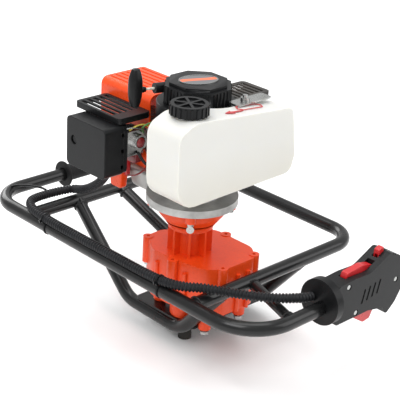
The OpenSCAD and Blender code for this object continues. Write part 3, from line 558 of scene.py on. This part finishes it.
# marks on the tank: a red arrow and an outlined six-sided label
def arrowOutline(length, width):
    return [(0, 0), (0.42 * length, 0.5 * width), (0.36 * length, 0.17 * width), (length, 0.10 * width),
            (length, -0.10 * width), (0.36 * length, -0.17 * width), (0.42 * length, -0.5 * width)]


def hexagonOutline(length, height):
    return [(-length / 2, 0), (-0.4 * length, height / 2), (0.4 * length, height / 2), (length / 2, 0),
            (0.4 * length, -height / 2), (-0.4 * length, -height / 2)]


tankMarks = {"slope": 5.0, "foot": -0.0006, "top": 0.0004,
             "arrowAt": (-0.030, -0.0885, 0.4212), "arrowSize": (0.036, 0.012),
             "labelAt": (0.030, -0.0785, 0.4158), "labelOuter": (0.052, 0.017), "labelInner": (0.0485, 0.0140)}
slopeTurn = Matrix.Rotation(math.radians(tankMarks["slope"]), 4, "Y")
arrow = outlineMesh("tankArrow", arrowOutline(*tankMarks["arrowSize"]), tankMarks["foot"], tankMarks["top"])
label = bandMesh("tankLabel", hexagonOutline(*tankMarks["labelOuter"]),
                 hexagonOutline(*tankMarks["labelInner"]), tankMarks["foot"], tankMarks["top"])
for name, mark, spot in (("tankArrow", arrow, "arrowAt"), ("tankLabel", label, "labelAt")):
    addPiece(name, laidOn(mark, Matrix.Translation(tankMarks[spot]) @ slopeTurn), "red",
             smooth=False)
print("badge, rope and tank marks made")


# weld beads where the frame's tubes meet: a rippled ring along each joint
bead = {"thick": 0.0016, "ripples": 34, "ripple": 0.22, "rows": 136, "sides": 8}


def beadMesh(name, centre, axis, radius):
    # a ring square to the axis; its thickness ripples many times round, like stacked coins
    rows, sides = bead["rows"], bead["sides"]
    axis = np.array(axis, float) / np.linalg.norm(axis)
    side = np.cross(axis, [0.31, 0.27, 0.91])
    side /= np.linalg.norm(side)
    other = np.cross(axis, side)
    turn = np.linspace(0, 2 * np.pi, rows, endpoint=False)
    spin = np.linspace(0, 2 * np.pi, sides, endpoint=False)
    outward = np.cos(turn)[:, None] * side + np.sin(turn)[:, None] * other
    size = bead["thick"] * (1 + bead["ripple"] * np.cos(bead["ripples"] * turn))
    lip = np.cos(spin)[None, :, None] * outward[:, None] + np.sin(spin)[None, :, None] * axis
    points = np.array(centre) + radius * outward[:, None] + size[:, None, None] * lip
    i, k = np.meshgrid(np.arange(rows) * sides, np.arange(sides), indexing="ij")
    j, n = (i + sides) % (rows * sides), (k + 1) % sides
    faces = np.stack([i + k, j + k, j + n, i + n], -1).reshape(-1, 4)
    mesh = bpy.data.meshes.new(name)
    mesh.from_pydata(points.reshape(-1, 3).tolist(), [], faces.tolist())
    return laidOn(mesh, Matrix.Identity(4))


welds = {
    "weldCross": ((-0.0835, 0.298, 0.135), (1, 0, 0), 0.0112),
    "weldRail": ((-0.0835, -0.105, 0.135), (1, 0, 0), 0.0112),
    "weldBraceRail": ((0.0297, -0.1165, 0.135), (-0.316, -0.949, 0), 0.0081),
    "weldBraceGrip": ((-0.004, -0.2185, 0.135), (-0.316, -0.949, 0), 0.0081),
}
# the cradle tubes' ends, mirrored about the cradle's middle
cradle = {"middle": 0.062, "radius": 0.0113,
          "Cross": ((0.0512, 0.2865, 0.1276), (0.175, 0.861, 0.477)),
          "Rail": ((0.089, -0.0955, 0.1255), (0, -0.65, 0.76))}
for side, sideName in ((-1, "Left"), (1, "Right")):
    for where in ("Cross", "Rail"):
        (x, y, z), (alongX, alongY, alongZ) = cradle[where]
        welds["weld" + where + sideName] = ((cradle["middle"] + side * x, y, z),
                                            (-side * alongX, alongY, alongZ), cradle["radius"])
for name, (centre, axis, radius) in welds.items():
    addPiece(name, beadMesh(name, centre, axis, radius), "framePaint")
print("weld beads laid")

# short leads and links round the carburettor, each a smooth thin tube
leads = {
    "killLead": {"radius": 0.0020, "finish": "satinBlack", "route": [
        (-0.0600, 0.3965, 0.1440), (-0.0560, 0.3850, 0.1500), (-0.0500, 0.3680, 0.1545),
        (-0.0440, 0.3500, 0.1575), (-0.0400, 0.3340, 0.1590), (-0.0385, 0.3230, 0.1585)]},
    "greenLead": {"radius": 0.0013, "finish": "leadGreen", "route": [
        (-0.052, 0.060, 0.350), (-0.060, 0.054, 0.362), (-0.046, 0.050, 0.368), (-0.030, 0.050, 0.360),
        (-0.034, 0.052, 0.344)]},
    "yellowLead": {"radius": 0.0012, "finish": "leadYellow", "route": [
        (-0.078, 0.064, 0.358), (-0.070, 0.056, 0.366), (-0.054, 0.054, 0.365), (-0.042, 0.052, 0.352),
        (-0.044, 0.056, 0.330)]},
    "fuelLine": {"radius": 0.0024, "finish": "satinBlack", "route": [
        (-0.062, 0.060, 0.320), (-0.062, 0.044, 0.308), (-0.052, 0.030, 0.300), (-0.050, 0.000, 0.298),
        (-0.060, -0.034, 0.304)]},
    "chokeRod": {"radius": 0.0010, "finish": "zincScrew", "route": [
        (-0.090, 0.056, 0.366), (-0.080, 0.052, 0.366), (-0.066, 0.052, 0.362), (-0.056, 0.058, 0.356)]},
    "redLead": {"radius": 0.0014, "finish": "darkRed", "route": [
        (-0.048, 0.060, 0.322), (-0.046, 0.052, 0.306), (-0.052, 0.056, 0.290), (-0.060, 0.066, 0.280),
        (-0.060, 0.084, 0.274)]},
}
leadStep, leadSides = 0.0012, 10
for name, lead in leads.items():
    leadPath, _ = smoothRoute(lead["route"], leadStep)
    addPiece(name, tubeMesh(name, leadPath, lead["radius"], leadSides), lead["finish"])
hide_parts("kill_lead")
print("leads run")


def castBlock(name, low, high, taper, power=7.0, rows=26, sides=48):
    # a superellipsoid: each axis reaches out as |sin| or |cos| to the power 2/power, so it is a
    # block with rounded edges; it draws in by the taper from its top to its foot
    low, high = np.array(low, float), np.array(high, float)
    u = np.linspace(0, 2 * np.pi, sides, endpoint=False)
    v = np.linspace(-np.pi / 2, np.pi / 2, rows)
    cosU, sinU, cosV, sinV = (np.sign(w) * np.abs(w) ** (2 / power)
                              for w in (np.cos(u), np.sin(u), np.cos(v), np.sin(v)))
    x, y = cosV[:, None] * cosU, cosV[:, None] * sinU
    z = np.broadcast_to(sinV[:, None], x.shape)
    squeeze = 1 - taper * (1 - z) / 2
    points = (low + high) / 2 + (high - low) / 2 * np.stack([x * squeeze, y * squeeze, z], -1)
    i, k = np.meshgrid(np.arange(rows - 1) * sides, np.arange(sides), indexing="ij")
    n = (k + 1) % sides
    faces = np.stack([i + k, i + n, i + sides + n, i + sides + k], -1).reshape(-1, 4)
    mesh = bpy.data.meshes.new(name)
    mesh.from_pydata(points.reshape(-1, 3).tolist(), [], faces.tolist())
    work = bmesh.new()
    work.from_mesh(mesh)
    bmesh.ops.remove_doubles(work, verts=work.verts, dist=0.00001)
    bmesh.ops.recalc_face_normals(work, faces=work.faces)
    work.to_mesh(mesh)
    work.free()
    return mesh


# the engine's foot under the barrel, the air duct's lobe beside it and the carburettor's spacer
castings = {
    "engineFoot": {"low": (-0.047, 0.052, 0.2465), "high": (0.034, 0.106, 0.2830), "taper": 0.20,
                   "finish": "castAluminium", "slot": "cast_aluminium"},
    "footPad": {"low": (-0.050, 0.098, 0.2600), "high": (-0.010, 0.124, 0.2830), "taper": 0.10,
                "finish": "castAluminium", "slot": "cast_aluminium"},
    "ductLobe": {"low": (-0.062, 0.098, 0.2440), "high": (-0.046, 0.128, 0.2740), "taper": 0.15,
                 "finish": "cowlOrange", "slot": "cowl_orange"},
    "ductFin": {"low": (-0.0560, 0.092, 0.2680), "high": (-0.0485, 0.104, 0.3080), "taper": -0.1,
                "finish": "red", "slot": "red_plastic"},
    "heatSpacer": {"low": (-0.0600, 0.068, 0.2960), "high": (-0.0440, 0.106, 0.3150), "taper": 0.1,
                   "finish": "darkRed", "slot": "red_plastic"},
}
for name, block in castings.items():
    addPiece(name, castBlock(name, block["low"], block["high"], block["taper"]), block["finish"])
print("castings placed")

stageSetup = {"floor": 0.0, "size": 14.0, "shade": (0.96, 0.96, 0.96), "sky": 0.72}


def setStage(setup):
    half, z = setup["size"] / 2, setup["floor"]
    mesh = bpy.data.meshes.new("floor")
    mesh.from_pydata([(-half, -half, z), (half, -half, z), (half, half, z), (-half, half, z)], [],
                     [(0, 1, 2, 3)])
    floor = bpy.data.objects.new("floor", mesh)
    scene.collection.objects.link(floor)
    p = Paint("paleFloor", Specular_IOR_Level=0.2)
    soft = p.noise(3, 2, 0.5)
    p.set(Base_Color=p.mix(soft, setup["shade"], tuple(0.985 * c for c in setup["shade"])),
          Roughness=0.7 + (soft - 0.5) * 0.1)
    mesh.materials.append(p.material)
    world = bpy.data.worlds.new("studio")
    world.use_nodes = True
    world.node_tree.nodes["Background"].inputs["Color"].default_value = (1, 1, 1, 1)
    world.node_tree.nodes["Background"].inputs["Strength"].default_value = setup["sky"]
    scene.world = world


lights = {
    "key": {"place": (-1.6, -0.4, 2.2), "aim": (0, 0, 0.25), "size": 1.4, "power": 30},
    "fill": {"place": (1.4, -1.8, 1.5), "aim": (0, 0, 0.25), "size": 1.8, "power": 20},
    "top": {"place": (0.2, 0.4, 2.6), "aim": (0, 0, 0.2), "size": 2.0, "power": 34},
    "rim": {"place": (0.4, 2.2, 1.2), "aim": (0, 0, 0.3), "size": 1.2, "power": 18},
}


def setLights():
    for name, l in lights.items():
        lamp = bpy.data.lights.new(name, "AREA")
        lamp.shape, lamp.size, lamp.energy = "SQUARE", l["size"], l["power"]
        lampObject = bpy.data.objects.new(name, lamp)
        scene.collection.objects.link(lampObject)
        toward = Vector(l["aim"]) - Vector(l["place"])
        turned = toward.to_track_quat("-Z", "Y").to_matrix().to_4x4()
        lampObject.matrix_world = Matrix.Translation(l["place"]) @ turned


setStage(stageSetup)
setLights()
print("stage and lights set")
